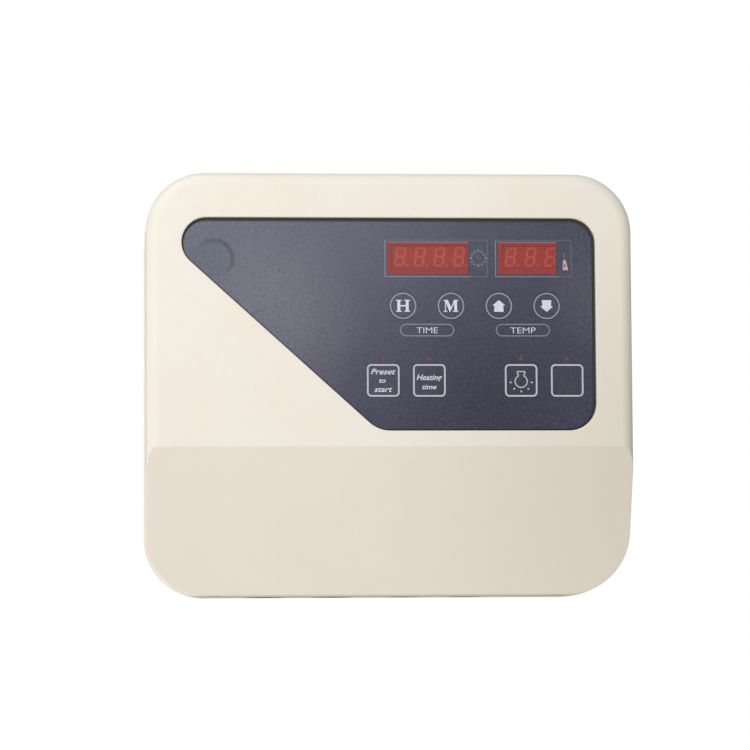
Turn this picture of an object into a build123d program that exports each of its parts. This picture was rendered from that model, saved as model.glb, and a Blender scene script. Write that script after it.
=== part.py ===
"""Wall-mounted digital heater controller.

Frame: the origin is the centre of the back face, which rests on the wall. +X points right as the
controller is faced, +Z points up, and the front looks along -Y. Depths are measured from the wall.
"""
from build123d import *
import math
import os

os.makedirs("parts", exist_ok=True)

# ---------------------------------------------------------------- driving dimensions, mm
# Casing
WIDTH = 250.0
HEIGHT = 216.0
DEPTH = 75.0
CORNER_R = 31.0
REAR_DEPTH = 25.0            # depth of the rear housing, up to the parting line
REAR_WALL = 3.2
BACK_WALL = 3.0
COVER_INSET = 0.5            # the cover's skirt stands this far inside the rear housing's edge
COVER_WALL = 2.8
COVER_DRAFT = 0.5            # degrees
FRONT_FILLET = 6.0
CREASE_Z = -32.8             # height where the flat front turns into the sloping lower face
SLOPE_ANGLE = 25.0           # degrees back from the vertical
SLOPE_EDGE = 0.5             # rounding of the edges around the sloping face

# Joint between cover and rear housing
LIP_INSET = 2.1
LIP_HEIGHT = 3.0
REBATE_GAP = 0.15
RIM_CHAMFER = 0.6

# Panel opening: a four-cornered outline with a slanted lower left side
OPEN_RIGHT = 105.0
OPEN_TOP = 83.9
OPEN_BOTTOM = -24.8
OPEN_TIP_X = -106.0
OPEN_DIAGONAL = 42.15        # degrees below the horizontal
OPEN_RADII = {"tip": 12.8, "top_right": 13.0, "bottom_right": 14.0, "bottom_left": 16.0}
OPEN_EDGE = 0.6              # rounding of the opening's front edge

# Panel plate, film and windows
PLATE_THICK = 2.0
PLATE_MARGIN = 8.0
FILM_THICK = 1.2
FILM_GAP = 1.3
FILM_SHIFT = (-0.4, -0.6)
MARK_CENTRE = (-89.5, 62.8)
MARK_R = 10.0
MARK_WIDTH = 1.4
MARK_DEPTH = 0.15
TIME_WINDOW = (19.3, 63.1, 41.4, 16.4)       # centre x, centre z, width, height
TEMP_WINDOW = (70.2, 63.1, 30.1, 16.4)
WINDOW_GAP = 0.05

# Keys: film disc or square above a switch plunger
ROUND_KEYS = {"hours": 6.5, "minutes": 31.0, "temp_up": 55.5, "temp_down": 80.0}
ROUND_KEY_Z = 38.9
ROUND_KEY_R = 6.9
SQUARE_KEYS = {"preset": -3.8, "heating_time": 19.7, "light": 66.6, "power": 90.2}
SQUARE_KEY_Z = 0.8
SQUARE_KEY_SIZE = 16.8
SQUARE_KEY_R = 2.4
KEY_THICK = 0.6
KEY_GAP = 0.3                # around a key
FILM_FLOOR = 0.2
NUB_R = 1.5
NUB_GAP = 0.5
KEY_HOLE_R = 2.3             # hole in the panel plate for a key's nub
PLUNGER_R = 1.75
PLUNGER_FIT = 0.05
SWITCH_SIZE = 6.0
SWITCH_BODY = 3.5
SWITCH_HEIGHT = 7.0
INDICATOR_Z = 12.0
INDICATOR_SIZE = 3.0
INDICATOR_HOLE_R = 1.8

# Display board
BOARD_THICK = 1.6
DISPLAY_BOARD_DEPTH = 64.0   # depth of its front face
DISPLAY_BOARD = (44.0, 32.2, 112.0, 91.0)    # centre x, centre z, width, height
DIGIT_MODULE_HEIGHT = 12.8
DIGIT_MODULE_DEPTH = 7.8
DIGIT_MODULE_FIT = 0.2       # gap around a module in the panel plate
TIME_MODULE = (20.4, 64.2, 40.2)     # centre x, centre z, width
TEMP_MODULE = (72.2, 64.2, 30.1)

# Power board
POWER_BOARD_DEPTH = 9.6      # depth of its front face
POWER_BOARD = (0.0, 2.0, 190.0, 120.0)
RELAY_SIZE = (32.0, 27.0, 20.0)
RELAY_X = (-70.0, -30.0, 10.0)
RELAY_Z = 4.0
MAINS_POLES = 8
MAINS_PITCH = 11.0
SENSOR_POLES = 8
SENSOR_PITCH = 5.0
RIBBON_X = 38.0
RIBBON_WIDTH = 12.7
RIBBON_THICK = 1.0

# Wall fixing and cable entries
WALL_HOLE_R = 2.75
WALL_SPACING = (180.0, 150.0)
WALL_PAD = (6.5, 2.0)        # radius and height of the ring around each wall hole
BACK_POCKET = (94.0, 58.0, 5.0)      # width, height and corner radius of a hollow in the back face
BACK_POCKET_PLACE = (54.0, 36.0)
BACK_POCKET_DEPTH = 0.8
CABLE_DEPTH = 13.5           # depth of the cable axes
CABLE_ENTRIES = {"supply": (-62.0, 9.0), "heater": (-27.0, 9.0), "sensor": (10.0, 7.0), "light": (42.0, 7.0)}
GROMMET_FLANGE = 2.0
GROMMET_FLANGE_THICK = 1.2
CLAMP_Z = -82.0
CLAMP_POST_R = 3.6
CLAMP_POST_DEPTH = 15.0
COVER_SCREW_X = 88.0
COVER_SCREW_DEPTH = 32.5
HOOK_X = (-60.0, 60.0)       # hooks along the top edge
HOOK_WIDTH = 16.0
TAB_WIDTH = 11.0             # tabs behind the cover screws
SCREW_PILOT_R = 1.3
SCREW_SHANK_R = 1.25
SCREW_HEAD_R = 2.8
BOARD_HOLE_R = 1.6
POST_R = 3.5
EARTH_PLACE = (70.0, -87.0)
EARTH_BOSS = (7.0, 4.0)      # radius and height
EARTH_STUD_R = 1.95

# ---------------------------------------------------------------- derived sizes
COVER_INNER = DEPTH - COVER_WALL
PLATE_BACK = COVER_INNER - PLATE_THICK
FILM_FRONT = COVER_INNER + FILM_THICK
SWITCH_TOP = DISPLAY_BOARD_DEPTH + SWITCH_HEIGHT
TOP = HEIGHT / 2
BOTTOM = -HEIGHT / 2
KEY_PLACES = {name: (x, ROUND_KEY_Z) for name, x in ROUND_KEYS.items()}
KEY_PLACES.update({name: (x, SQUARE_KEY_Z) for name, x in SQUARE_KEYS.items()})


def facing(depth):
    """Plane parallel to the wall at a depth in front of it, looking into the room."""
    return Plane.XZ.offset(depth)


def save(part, name):
    """Label one finished piece and write it."""
    part.label = name
    export_step(part, f"parts/{name}.step")


def rounded(inset):
    """Casing outline, drawn inside the rear housing's edge by an inset."""
    with BuildSketch() as outline:
        RectangleRounded(WIDTH - 2 * inset, HEIGHT - 2 * inset, CORNER_R - inset)
    return outline.sketch


def panel_shape(grow=0.0, shift=(0.0, 0.0)):
    """Outline of the panel opening, grown or shrunk, and shifted."""
    tangent = math.tan(math.radians(OPEN_DIAGONAL))
    half_tangent = math.tan(math.radians(OPEN_DIAGONAL / 2))
    tip_corner_x = OPEN_TIP_X + OPEN_RADII["tip"] * (1 - 1 / half_tangent)
    bottom_corner_x = tip_corner_x + (OPEN_TOP - OPEN_BOTTOM) / tangent
    corners = [
        (tip_corner_x, OPEN_TOP),
        (OPEN_RIGHT, OPEN_TOP),
        (OPEN_RIGHT, OPEN_BOTTOM),
        (bottom_corner_x, OPEN_BOTTOM),
    ]
    with BuildSketch() as shape:
        with BuildLine():
            FilletPolyline(*corners, radius=list(OPEN_RADII.values()), close=True)
        make_face()
        if grow:
            offset(amount=grow, mode=Mode.REPLACE)
    return shape.sketch.moved(Location((shift[0], shift[1], 0)))


def slope_plane(wall=0.0):
    """Plane of the sloping lower face, moved inwards by a wall thickness; its normal faces the room."""
    angle = math.radians(SLOPE_ANGLE)
    normal = (0, -math.cos(angle), -math.sin(angle))
    return Plane(origin=(0, -DEPTH, CREASE_Z), x_dir=(1, 0, 0), z_dir=normal).offset(-wall)


# ---------------------------------------------------------------- rear housing
wall_holes = [(sx * WALL_SPACING[0] / 2, sz * WALL_SPACING[1] / 2) for sx in (-1, 1) for sz in (-1, 1)]
power_posts = [(-90.0, 57.0), (90.0, 57.0), (-90.0, -53.0), (90.0, -53.0), (-49.0, 57.0), (62.0, -53.0)]
back_pockets = [(sx * BACK_POCKET_PLACE[0], sz * BACK_POCKET_PLACE[1]) for sx in (-1, 1) for sz in (-1, 1)]
POWER_BOARD_BACK = POWER_BOARD_DEPTH - BOARD_THICK
CLAMP_HALF = {name: radius + 3.0 for name, (x, radius) in CABLE_ENTRIES.items()}
clamp_posts = [
    (x + side * CLAMP_HALF[name], CLAMP_Z)
    for name, (x, radius) in CABLE_ENTRIES.items()
    for side in (-1, 1)
]

with BuildPart() as rear_housing:
    with BuildSketch(facing(0)):
        add(rounded(0))
    extrude(amount=REAR_DEPTH)
    chamfer(rear_housing.faces().sort_by(Axis.Y)[0].outer_wire().edges(), RIM_CHAMFER)
    with BuildSketch(facing(BACK_WALL)):
        add(rounded(REAR_WALL))
    extrude(amount=REAR_DEPTH - BACK_WALL, mode=Mode.SUBTRACT)
    # Locating lip inside the cover's skirt
    with BuildSketch(facing(REAR_DEPTH)):
        add(rounded(LIP_INSET))
        add(rounded(REAR_WALL), mode=Mode.SUBTRACT)
    extrude(amount=LIP_HEIGHT)
    # Raised rings around the wall-screw holes, board posts, clamp posts and the earth boss
    with BuildSketch(facing(BACK_WALL)):
        with Locations(*wall_holes):
            Circle(WALL_PAD[0])
    extrude(amount=WALL_PAD[1])
    with BuildSketch(facing(BACK_WALL)):
        with Locations(*power_posts):
            Circle(POST_R)
    extrude(amount=POWER_BOARD_BACK - BACK_WALL)
    with BuildSketch(facing(BACK_WALL)):
        with Locations(*clamp_posts):
            Circle(CLAMP_POST_R)
    extrude(amount=CLAMP_POST_DEPTH - BACK_WALL)
    with BuildSketch(facing(BACK_WALL)):
        with Locations(EARTH_PLACE):
            Circle(EARTH_BOSS[0])
    extrude(amount=EARTH_BOSS[1])
    # Hooks along the top edge: a spring strip, the root that joins it to the wall, and its nose.
    # Each piece is its first depth, its length, and its centre and thickness below the top.
    for hook_x in HOOK_X:
        for start, length, middle, thick in (
            (REAR_DEPTH - 6.0, 13.0, 5.2, 2.6),
            (REAR_DEPTH - 6.0, 6.0, 4.0, 1.8),
            (REAR_DEPTH + 4.5, 2.0, 3.7, 2.4),
        ):
            with BuildSketch(facing(start)):
                with Locations((hook_x, TOP - middle)):
                    Rectangle(HOOK_WIDTH, thick)
            extrude(amount=length)
    # Tabs that take the two cover screws
    for side in (-1, 1):
        with BuildSketch(facing(BACK_WALL)):
            with Locations((side * COVER_SCREW_X, BOTTOM + 9.7)):
                Rectangle(TAB_WIDTH, 7.4)
        extrude(amount=COVER_SCREW_DEPTH + 4.5 - BACK_WALL)
        with BuildSketch(facing(BACK_WALL)):
            with Locations((side * COVER_SCREW_X, BOTTOM + 4.7)):
                Rectangle(TAB_WIDTH, REAR_WALL)
        extrude(amount=REAR_DEPTH + LIP_HEIGHT - BACK_WALL)
    # Shallow hollows that leave a rim and a cross of ribs against the wall
    with BuildSketch(facing(0)):
        with Locations(*back_pockets):
            RectangleRounded(*BACK_POCKET)
    extrude(amount=BACK_POCKET_DEPTH, mode=Mode.SUBTRACT)
    # Through holes for the wall screws
    with BuildSketch(facing(0)):
        with Locations(*wall_holes):
            Circle(WALL_HOLE_R)
    extrude(amount=10, mode=Mode.SUBTRACT)
    # Blind pilots in the posts
    with BuildSketch(facing(BACK_WALL)):
        with Locations(*power_posts, *clamp_posts):
            Circle(SCREW_PILOT_R)
    extrude(amount=20, mode=Mode.SUBTRACT)
    with BuildSketch(facing(BACK_WALL)):
        with Locations(EARTH_PLACE):
            Circle(EARTH_STUD_R + 0.05)
    extrude(amount=10, mode=Mode.SUBTRACT)
    with BuildSketch(Plane.XY.offset(BOTTOM + 5.5)):
        with Locations((-COVER_SCREW_X, -COVER_SCREW_DEPTH), (COVER_SCREW_X, -COVER_SCREW_DEPTH)):
            Circle(SCREW_PILOT_R)
    extrude(amount=7.0, mode=Mode.SUBTRACT)
    # Cable entries: a shallow outer recess, then the hole
    for x, radius in CABLE_ENTRIES.values():
        with BuildSketch(Plane.XY.offset(BOTTOM)):
            with Locations((x, -CABLE_DEPTH)):
                Circle(radius + GROMMET_FLANGE)
        extrude(amount=GROMMET_FLANGE_THICK, mode=Mode.SUBTRACT)
        with BuildSketch(Plane.XY.offset(BOTTOM)):
            with Locations((x, -CABLE_DEPTH)):
                Circle(radius)
        extrude(amount=REAR_WALL, mode=Mode.SUBTRACT)
save(rear_housing.part, "rear_housing")

# ---------------------------------------------------------------- front cover
BOSS_OUTSIDE = 3.6           # from the opening's edge to a boss centre
COVER_PAD = (14.0, 3.6, 9.0)         # pad behind a cover screw: width, thickness and depth
COVER_SCREW_RECESS_R = 3.5
COVER_SCREW_HOLE_R = 1.8
COVER_SCREW_SEAT = 3.1               # from the underside of the box to the plane under the screw head


def below_diagonal(x):
    """Boss centre beside the diagonal edge, level with the point of the edge at this x."""
    angle = math.radians(OPEN_DIAGONAL)
    edge_x = OPEN_TIP_X + OPEN_RADII["tip"] * (1 - 1 / math.tan(angle / 2))
    z = OPEN_TOP - (x - edge_x) * math.tan(angle)
    return (x - BOSS_OUTSIDE * math.sin(angle), z - BOSS_OUTSIDE * math.cos(angle))


panel_bosses = [(x, OPEN_TOP + BOSS_OUTSIDE) for x in (-70.0, 15.0, 92.0)]
panel_bosses += [(OPEN_RIGHT + BOSS_OUTSIDE, z) for z in (50.0, -2.0)]
panel_bosses += [below_diagonal(x) for x in (-76.5, -29.0)]
BOSS_R = 2.5
BOSS_HEIGHT = 4.6
COLLAR_R = 4.2
COLLAR_HEIGHT = BOSS_HEIGHT - PLATE_THICK + 0.1

with BuildPart() as cover_cavity:
    with BuildSketch(facing(REAR_DEPTH)):
        add(rounded(COVER_INSET + COVER_WALL))
    extrude(amount=COVER_INNER - REAR_DEPTH, taper=COVER_DRAFT)
    fillet(cover_cavity.faces().sort_by(Axis.Y)[0].edges(), FRONT_FILLET - COVER_WALL)
    split(bisect_by=slope_plane(COVER_WALL), keep=Keep.BOTTOM)

with BuildPart() as front_cover:
    with BuildSketch(facing(REAR_DEPTH)):
        add(rounded(COVER_INSET))
    extrude(amount=DEPTH - REAR_DEPTH, taper=COVER_DRAFT)
    fillet(front_cover.faces().sort_by(Axis.Y)[0].edges(), FRONT_FILLET)
    split(bisect_by=slope_plane(), keep=Keep.BOTTOM)
    add(cover_cavity.part, mode=Mode.SUBTRACT)
    # Rebate that fits over the rear housing's lip
    with BuildSketch(facing(REAR_DEPTH)):
        add(rounded(LIP_INSET - REBATE_GAP))
    extrude(amount=LIP_HEIGHT + REBATE_GAP, mode=Mode.SUBTRACT)
    # Pads behind the two cover screws, and pockets for the top hooks
    for side in (-1, 1):
        with BuildSketch(facing(REAR_DEPTH + LIP_HEIGHT + 0.6)):
            with Locations((side * COVER_SCREW_X, BOTTOM + 3.9)):
                Rectangle(COVER_PAD[0], COVER_PAD[1])
        extrude(amount=COVER_PAD[2])
        with BuildSketch(Plane.XY.offset(BOTTOM)):
            with Locations((side * COVER_SCREW_X, -COVER_SCREW_DEPTH)):
                Circle(COVER_SCREW_RECESS_R)
        extrude(amount=COVER_SCREW_SEAT, mode=Mode.SUBTRACT)
        with BuildSketch(Plane.XY.offset(BOTTOM)):
            with Locations((side * COVER_SCREW_X, -COVER_SCREW_DEPTH)):
                Circle(COVER_SCREW_HOLE_R)
        extrude(amount=6.0, mode=Mode.SUBTRACT)
    for hook_x in HOOK_X:
        with BuildSketch(facing(REAR_DEPTH + 4.0)):
            with Locations((hook_x, TOP - 3.5)):
                Rectangle(HOOK_WIDTH + 2, 3.0)
        extrude(amount=3.6, mode=Mode.SUBTRACT)
    # Bosses for the panel plate's screws
    with BuildSketch(facing(COVER_INNER - BOSS_HEIGHT)):
        with Locations(*panel_bosses):
            Circle(BOSS_R)
    extrude(amount=BOSS_HEIGHT)
    with BuildSketch(facing(COVER_INNER - BOSS_HEIGHT)):
        with Locations(*panel_bosses):
            Circle(SCREW_PILOT_R)
    extrude(amount=BOSS_HEIGHT, mode=Mode.SUBTRACT)
    # Panel opening
    with BuildSketch(facing(COVER_INNER - 1)):
        add(panel_shape())
    extrude(amount=COVER_WALL + 2, mode=Mode.SUBTRACT)
    flat_front = front_cover.faces().sort_by(Axis.Y)[0]
    fillet(flat_front.inner_wires()[0].edges(), OPEN_EDGE)
    slope_face = front_cover.faces().filter_by(slope_plane()).sort_by(Axis.Y)[0]
    fillet(slope_face.outer_wire().edges(), SLOPE_EDGE)
save(front_cover.part, "front_cover")

# ---------------------------------------------------------------- screws of one family
HEAD_HEIGHT = 1.8
SLOT_WIDTH = 0.7


def screw_group(places, base, direction, shank_length, head_r=SCREW_HEAD_R):
    """Identical cross-slotted screws; base is the plane under the heads, shanks run against direction."""
    with BuildPart() as group:
        with BuildSketch(base):
            with Locations(*places):
                Circle(head_r)
        extrude(amount=direction * HEAD_HEIGHT)
        with BuildSketch(base):
            with Locations(*places):
                Circle(SCREW_SHANK_R)
        extrude(amount=-direction * shank_length)
        with BuildSketch(base.offset(direction * HEAD_HEIGHT)):
            with Locations(*places):
                Rectangle(head_r * 1.2, SLOT_WIDTH)
                Rectangle(SLOT_WIDTH, head_r * 1.2)
        extrude(amount=-direction * HEAD_HEIGHT * 0.5, mode=Mode.SUBTRACT)
    return group.part


save(
    screw_group(
        [(-COVER_SCREW_X, -COVER_SCREW_DEPTH), (COVER_SCREW_X, -COVER_SCREW_DEPTH)],
        Plane.XY.offset(BOTTOM + COVER_SCREW_SEAT), -1, 9.0, 3.1,
    ),
    "cover_screws",
)
save(
    screw_group(panel_bosses, facing(PLATE_BACK - COLLAR_HEIGHT), -1, 4.2, 3.6),
    "panel_screws",
)

# ---------------------------------------------------------------- panel plate
display_posts = [(-7.0, 72.5), (94.0, 72.5), (94.0, -8.5), (44.0, -8.5)]
indicator_places = [(x, INDICATOR_Z) for x in SQUARE_KEYS.values()]

with BuildPart() as panel_plate:
    with BuildSketch(facing(PLATE_BACK)):
        add(panel_shape(PLATE_MARGIN))
        with Locations((0, CREASE_Z + 1.4 - 50)):
            Rectangle(2 * WIDTH, 100, mode=Mode.SUBTRACT)
    extrude(amount=PLATE_THICK)
    # Collars that stand over the cover's bosses and carry the screw heads
    with BuildSketch(facing(PLATE_BACK)):
        with Locations(*panel_bosses):
            Circle(COLLAR_R)
    extrude(amount=-COLLAR_HEIGHT)
    with BuildSketch(facing(PLATE_BACK - COLLAR_HEIGHT)):
        with Locations(*panel_bosses):
            Circle(BOSS_R + 0.2)
    extrude(amount=COLLAR_HEIGHT + PLATE_THICK, mode=Mode.SUBTRACT)
    with BuildSketch(facing(DISPLAY_BOARD_DEPTH)):
        with Locations(*display_posts):
            Circle(3.0)
    extrude(amount=PLATE_BACK - DISPLAY_BOARD_DEPTH)
    with BuildSketch(facing(DISPLAY_BOARD_DEPTH)):
        with Locations(*display_posts):
            Circle(SCREW_PILOT_R)
    extrude(amount=5.0, mode=Mode.SUBTRACT)
    with BuildSketch(facing(PLATE_BACK)):
        with Locations(*KEY_PLACES.values()):
            Circle(KEY_HOLE_R)
        with Locations(*indicator_places):
            Circle(INDICATOR_HOLE_R)
        for module in (TIME_MODULE, TEMP_MODULE):
            with Locations((module[0], module[1])):
                Rectangle(module[2] + 2 * DIGIT_MODULE_FIT, DIGIT_MODULE_HEIGHT + 2 * DIGIT_MODULE_FIT)
    extrude(amount=PLATE_THICK, mode=Mode.SUBTRACT)
save(panel_plate.part, "panel_plate")

# ---------------------------------------------------------------- overlay film and windows


def triangle_places(size):
    """Four small upright triangles above the square keys."""
    with BuildSketch() as marks:
        with Locations(*indicator_places):
            RegularPolygon(radius=size / math.sqrt(3), side_count=3, rotation=90)
    return marks.sketch


with BuildPart() as overlay_film:
    with BuildSketch(facing(COVER_INNER)):
        add(panel_shape(-FILM_GAP, FILM_SHIFT))
        for window in (TIME_WINDOW, TEMP_WINDOW):
            with Locations((window[0], window[1])):
                Rectangle(window[2], window[3], mode=Mode.SUBTRACT)
        add(triangle_places(INDICATOR_SIZE), mode=Mode.SUBTRACT)
    extrude(amount=FILM_THICK)
    # Pockets for the keys, with a thin floor and a hole for the nub
    with BuildSketch(facing(COVER_INNER + FILM_FLOOR)):
        with Locations(*[KEY_PLACES[name] for name in ROUND_KEYS]):
            Circle(ROUND_KEY_R + KEY_GAP)
        with Locations(*[KEY_PLACES[name] for name in SQUARE_KEYS]):
            side = SQUARE_KEY_SIZE + 2 * KEY_GAP
            RectangleRounded(side, side, SQUARE_KEY_R + KEY_GAP)
    extrude(amount=FILM_THICK, mode=Mode.SUBTRACT)
    with BuildSketch(facing(COVER_INNER)):
        with Locations(*KEY_PLACES.values()):
            Circle(NUB_R + NUB_GAP)
    extrude(amount=FILM_THICK, mode=Mode.SUBTRACT)
    # Shallow round mark pressed into the film near the tip
    with BuildSketch(facing(FILM_FRONT - MARK_DEPTH)):
        with Locations(MARK_CENTRE):
            Circle(MARK_R)
            Circle(MARK_R - MARK_WIDTH, mode=Mode.SUBTRACT)
    extrude(amount=1.0, mode=Mode.SUBTRACT)
save(overlay_film.part, "overlay_film")

for window_name, window in (("time_window", TIME_WINDOW), ("temp_window", TEMP_WINDOW)):
    with BuildPart() as window_filter:
        with BuildSketch(facing(COVER_INNER)):
            with Locations((window[0], window[1])):
                Rectangle(window[2] - 2 * WINDOW_GAP, window[3] - 2 * WINDOW_GAP)
        extrude(amount=FILM_THICK)
    save(window_filter.part, window_name)

with BuildPart() as indicator_windows:
    with BuildSketch(facing(COVER_INNER)):
        add(triangle_places(INDICATOR_SIZE - 4 * WINDOW_GAP))
    extrude(amount=FILM_THICK)
save(indicator_windows.part, "indicator_windows")

# ---------------------------------------------------------------- keys and switch plungers
for name, place in KEY_PLACES.items():
    with BuildPart() as key:
        with BuildSketch(facing(FILM_FRONT - KEY_THICK)):
            with Locations(place):
                if name in ROUND_KEYS:
                    Circle(ROUND_KEY_R)
                else:
                    RectangleRounded(SQUARE_KEY_SIZE, SQUARE_KEY_SIZE, SQUARE_KEY_R)
        extrude(amount=KEY_THICK)
        with BuildSketch(facing(SWITCH_TOP)):
            with Locations(place):
                Circle(NUB_R)
        extrude(amount=FILM_FRONT - KEY_THICK - SWITCH_TOP)
    save(key.part, f"key_{name}")

    with BuildPart() as plunger:
        with BuildSketch(facing(DISPLAY_BOARD_DEPTH + 2.6)):
            with Locations(place):
                Circle(PLUNGER_R)
        extrude(amount=SWITCH_TOP - DISPLAY_BOARD_DEPTH - 2.6)
    save(plunger.part, f"plunger_{name}")

with BuildPart() as switch_bodies:
    with BuildSketch(facing(DISPLAY_BOARD_DEPTH)):
        with Locations(*KEY_PLACES.values()):
            RectangleRounded(SWITCH_SIZE, SWITCH_SIZE, 0.5)
    extrude(amount=SWITCH_BODY)
    with BuildSketch(facing(DISPLAY_BOARD_DEPTH + 2.2)):
        with Locations(*KEY_PLACES.values()):
            Circle(PLUNGER_R + PLUNGER_FIT)
    extrude(amount=SWITCH_BODY, mode=Mode.SUBTRACT)
save(switch_bodies.part, "switch_bodies")


# ---------------------------------------------------------------- boards
def board(size, front, holes):
    """Circuit board with screw holes; size is its centre x, centre z, width and height."""
    with BuildPart() as plate:
        with BuildSketch(facing(front - BOARD_THICK)):
            with Locations((size[0], size[1])):
                RectangleRounded(size[2], size[3], 2.0)
            with Locations(*holes):
                Circle(BOARD_HOLE_R, mode=Mode.SUBTRACT)
        extrude(amount=BOARD_THICK)
    return plate.part


DISPLAY_BOARD_BACK = DISPLAY_BOARD_DEPTH - BOARD_THICK
save(board(DISPLAY_BOARD, DISPLAY_BOARD_DEPTH, display_posts), "display_board")
save(
    screw_group(display_posts, facing(DISPLAY_BOARD_BACK), -1, 6.0),
    "display_board_screws",
)
save(board(POWER_BOARD, POWER_BOARD_DEPTH, power_posts), "power_board")
save(
    screw_group(power_posts, facing(POWER_BOARD_DEPTH), 1, 6.0),
    "power_board_screws",
)

# ---------------------------------------------------------------- display board parts
for display_name, module in (("time_display", TIME_MODULE), ("temp_display", TEMP_MODULE)):
    with BuildPart() as display:
        with BuildSketch(facing(DISPLAY_BOARD_DEPTH)):
            with Locations((module[0], module[1])):
                Rectangle(module[2], DIGIT_MODULE_HEIGHT)
        extrude(amount=DIGIT_MODULE_DEPTH)
        with BuildSketch(facing(DISPLAY_BOARD_DEPTH)):
            with Locations((module[0], module[1])):
                Rectangle(module[2] - 3, DIGIT_MODULE_HEIGHT - 3)
        extrude(amount=1.0, mode=Mode.SUBTRACT)
    save(display.part, display_name)

LED_R = 1.5
LED_SPACER = 2.0
LED_HEIGHT = 7.2
with BuildPart() as indicator_leds:
    with BuildSketch(facing(DISPLAY_BOARD_DEPTH)):
        with Locations(*indicator_places):
            Circle(1.9)
    extrude(amount=LED_SPACER + 1.0)
    with BuildSketch(facing(DISPLAY_BOARD_DEPTH + LED_SPACER)):
        with Locations(*indicator_places):
            Circle(LED_R)
    extrude(amount=LED_HEIGHT - LED_SPACER)
    fillet(indicator_leds.faces().filter_by(Axis.Y).group_by(Axis.Y)[0].edges(), LED_R * 0.8)
save(indicator_leds.part, "indicator_leds")

CHIP_PLACE = (70.0, 20.0)
CHIP_SIZE = 12.0
CHIP_THICK = 1.6
CHIP_STANDOFF = 0.2
LEAD_PITCH = 1.0
LEAD_COUNT = 9
with BuildPart() as microcontroller:
    with BuildSketch(facing(DISPLAY_BOARD_BACK - CHIP_STANDOFF)):
        with Locations(CHIP_PLACE):
            Rectangle(CHIP_SIZE, CHIP_SIZE)
    extrude(amount=-CHIP_THICK)
    with BuildSketch(facing(DISPLAY_BOARD_BACK)):
        with Locations(CHIP_PLACE):
            for turn in range(4):
                with PolarLocations(CHIP_SIZE / 2 + 0.6, 1, start_angle=90 * turn):
                    with GridLocations(LEAD_PITCH, LEAD_PITCH, 1, LEAD_COUNT):
                        Rectangle(1.8, 0.4)
    extrude(amount=-0.5)
save(microcontroller.part, "microcontroller")

BUZZER_PLACE = (92.0, 45.0)
BUZZER_SIZE = (6.0, 8.5)     # radius and height
with BuildPart() as buzzer:
    with BuildSketch(facing(DISPLAY_BOARD_BACK)):
        with Locations(BUZZER_PLACE):
            Circle(BUZZER_SIZE[0])
    extrude(amount=-BUZZER_SIZE[1])
    with BuildSketch(facing(DISPLAY_BOARD_BACK - BUZZER_SIZE[1])):
        with Locations(BUZZER_PLACE):
            Circle(1.1)
    extrude(amount=3.0, mode=Mode.SUBTRACT)
save(buzzer.part, "buzzer")

# ---------------------------------------------------------------- ribbon cable and headers
HEADER_SIZE = (20.3, 9.0)
HEADER_HEIGHT = 12.0
RIBBON_Z = 14.0
RIBBON_FOLD = 14.0
RIBBON_BEND = 4.0
display_header_face = DISPLAY_BOARD_BACK - HEADER_HEIGHT
power_header_face = POWER_BOARD_DEPTH + HEADER_HEIGHT

for header_name, base, amount in (
    ("display_header", facing(DISPLAY_BOARD_BACK), -HEADER_HEIGHT),
    ("power_header", facing(POWER_BOARD_DEPTH), HEADER_HEIGHT),
):
    with BuildPart() as header:
        with BuildSketch(base):
            with Locations((RIBBON_X, RIBBON_Z)):
                Rectangle(*HEADER_SIZE)
        extrude(amount=amount)
        with BuildSketch(base.offset(amount / 2)):
            with Locations((RIBBON_X, RIBBON_Z + HEADER_SIZE[1] / 2)):
                Rectangle(4.5, 2.4)
        extrude(amount=amount / 4, mode=Mode.SUBTRACT)
    save(header.part, header_name)

ribbon_middle = (display_header_face + power_header_face) / 2
with BuildPart() as ribbon_cable:
    with BuildSketch(Plane.YZ.offset(RIBBON_X - RIBBON_WIDTH / 2)):
        with BuildLine() as ribbon_path:
            FilletPolyline(
                (-display_header_face, RIBBON_Z),
                (-display_header_face + 8.0, RIBBON_Z),
                (-ribbon_middle, RIBBON_Z + RIBBON_FOLD),
                (-power_header_face - 8.0, RIBBON_Z),
                (-power_header_face, RIBBON_Z),
                radius=RIBBON_BEND,
            )
        trace(ribbon_path.line, line_width=RIBBON_THICK)
    extrude(amount=RIBBON_WIDTH)
save(ribbon_cable.part, "ribbon_cable")

# ---------------------------------------------------------------- power board parts


def block(place, size, corner=0.8, depth=POWER_BOARD_DEPTH):
    """Component body standing on the power board: size is its width, height and depth."""
    with BuildPart() as body:
        with BuildSketch(facing(depth)):
            with Locations(place):
                RectangleRounded(size[0], size[1], corner)
        extrude(amount=size[2])
    return body.part


for index, relay_x in enumerate(RELAY_X):
    with BuildPart() as relay:
        add(block((relay_x, RELAY_Z), RELAY_SIZE))
        chamfer(relay.faces().sort_by(Axis.Y)[0].edges(), 0.8)
    save(relay.part, f"relay_{index + 1}")

TRANSFORMER_PLACE = (72.0, 34.0)
CORE_SIZE = (38.0, 32.0)
CORE_STACK = (10.0, 14.0)            # first depth above the board, and stack thickness
CORE_WINDOW_X = 9.6                  # from the core's centre to the middle of each window
COIL_SIZE = (26.0, 19.4)
COIL_OVERHANG = 8.0                  # how far the coil stands in front of the core
core_depth = POWER_BOARD_DEPTH + CORE_STACK[0]
with BuildPart() as transformer_core:
    with BuildSketch(facing(core_depth)):
        with Locations(TRANSFORMER_PLACE):
            Rectangle(*CORE_SIZE)
            with GridLocations(2 * CORE_WINDOW_X, 1, 2, 1):
                Rectangle(7.0, 20.0, mode=Mode.SUBTRACT)
    extrude(amount=CORE_STACK[1])
save(transformer_core.part, "transformer_core")

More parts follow.
